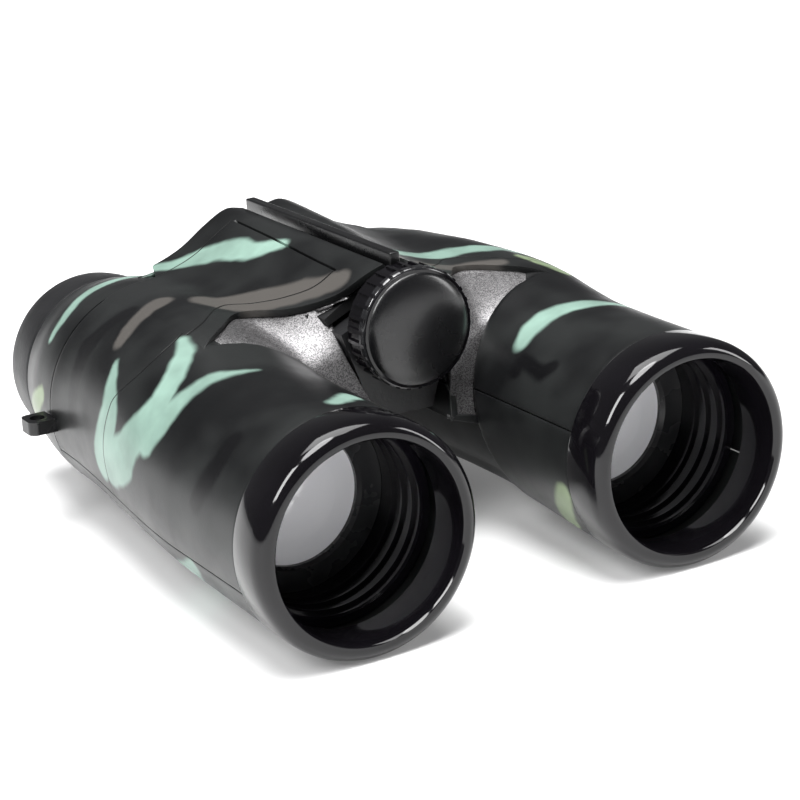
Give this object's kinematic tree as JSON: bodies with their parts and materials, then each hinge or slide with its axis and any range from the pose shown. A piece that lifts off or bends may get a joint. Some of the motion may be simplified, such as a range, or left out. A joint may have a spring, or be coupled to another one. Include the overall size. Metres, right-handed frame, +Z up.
{
  "type": "binoculars",
  "caption": "Child's centre-focus binoculars: two barrels on a hinge, front focus wheel, sliding eyepieces and strap lugs.",
  "frame": {"origin": "under the middle of the binoculars, on the surface they stand on", "axes": "+Y from the objectives to the eyepieces, +X from the left barrel to the right one as seen from the front, +Z up"},
  "size_m": [0.1104, 0.127, 0.0555],
  "materials": {
    "black_gloss": "high gloss",
    "tube_black": "gloss",
    "retainer_grey": "satin",
    "lens_glass": "coated",
    "camo_shell": "satin with soft camouflage patches",
    "sparkle_grey": "fine metallic grain",
    "bright_steel": "turned",
    "prism_glass": "polished",
    "inner_black": "matt moulded",
    "cup_grey": "soft satin",
    "black_satin": "satin",
    "housing_black": "satin",
    "bush_brass": "turned",
    "bezel_black": "gloss",
    "cap_black": "gloss"
  },
  "bodies": {
    "centre": {"hinge_pin": "bright_steel", "hinge_cover_bar": "black_satin", "centre_housing": "housing_black", "centre_cover": "housing_black", "wheel_bush": "bush_brass"},
    "right_half": {"right_objective_ring": "black_gloss", "right_lens_tube": "tube_black", "right_lens_retainer": "retainer_grey", "right_objective_lens": "lens_glass", "right_upper_shell": "camo_shell", "right_lower_shell": "camo_shell", "right_front_panel": "sparkle_grey", "right_shell_screws": "bright_steel", "right_prism": "prism_glass", "right_prism_cradle": "inner_black", "right_ocular_cover": "camo_shell", "right_strap_lug": "black_satin", "right_hinge_arm": "inner_black"},
    "left_half": {"left_objective_ring": "black_gloss", "left_lens_tube": "tube_black", "left_lens_retainer": "retainer_grey", "left_objective_lens": "lens_glass", "left_upper_shell": "camo_shell", "left_lower_shell": "camo_shell", "left_front_panel": "sparkle_grey", "left_shell_screws": "bright_steel", "left_prism": "prism_glass", "left_prism_cradle": "inner_black", "left_ocular_cover": "camo_shell", "left_strap_lug": "black_satin", "left_hinge_arm": "inner_black"},
    "focus_wheel": {"wheel_rim": "black_gloss", "wheel_bezel": "bezel_black", "wheel_cap": "cap_black", "focus_screw": "bright_steel", "wheel_clip": "bright_steel"},
    "focus_carriage": {"focus_carriage": "inner_black"},
    "right_ocular": {"right_ocular_tube": "inner_black", "right_eyecup": "cup_grey", "right_eye_lens": "lens_glass", "right_eye_lens_ring": "inner_black", "right_focus_arm": "inner_black"},
    "left_ocular": {"left_ocular_tube": "inner_black", "left_eyecup": "cup_grey", "left_eye_lens": "lens_glass", "left_eye_lens_ring": "inner_black", "left_focus_arm": "inner_black"}
  },
  "joints": [
    {"name": "right_fold", "type": "hinge", "parent": "centre", "child": "right_half", "pos_m": [0, 0, 0.0508], "axis": [0, -1, 0], "range_deg": [0, 19]},
    {"name": "left_fold", "type": "hinge", "parent": "centre", "child": "left_half", "pos_m": [0, 0, 0.0508], "axis": [0, 1, 0], "range_deg": [0, 19]},
    {"name": "focus_turn", "type": "hinge", "parent": "centre", "child": "focus_wheel", "pos_m": [0, 0, 0.0426], "axis": [0, 1, 0], "range_deg": [0, 300]},
    {"name": "carriage_slide", "type": "slide", "parent": "centre", "child": "focus_carriage", "axis": [0, 1, 0], "range_m": [0, 0.0035]},
    {"name": "right_ocular_slide", "type": "slide", "parent": "right_half", "child": "right_ocular", "axis": [0, 1, 0], "range_m": [0, 0.0035]},
    {"name": "left_ocular_slide", "type": "slide", "parent": "left_half", "child": "left_ocular", "axis": [0, 1, 0], "range_m": [0, 0.0035]}
  ],
  "couplings": [
    {"joint": "focus_turn", "follows": "carriage_slide", "rad_per_m": 1495.9},
    {"joint": "right_ocular_slide", "follows": "carriage_slide", "ratio": 1},
    {"joint": "left_ocular_slide", "follows": "carriage_slide", "ratio": 1}
  ]
}
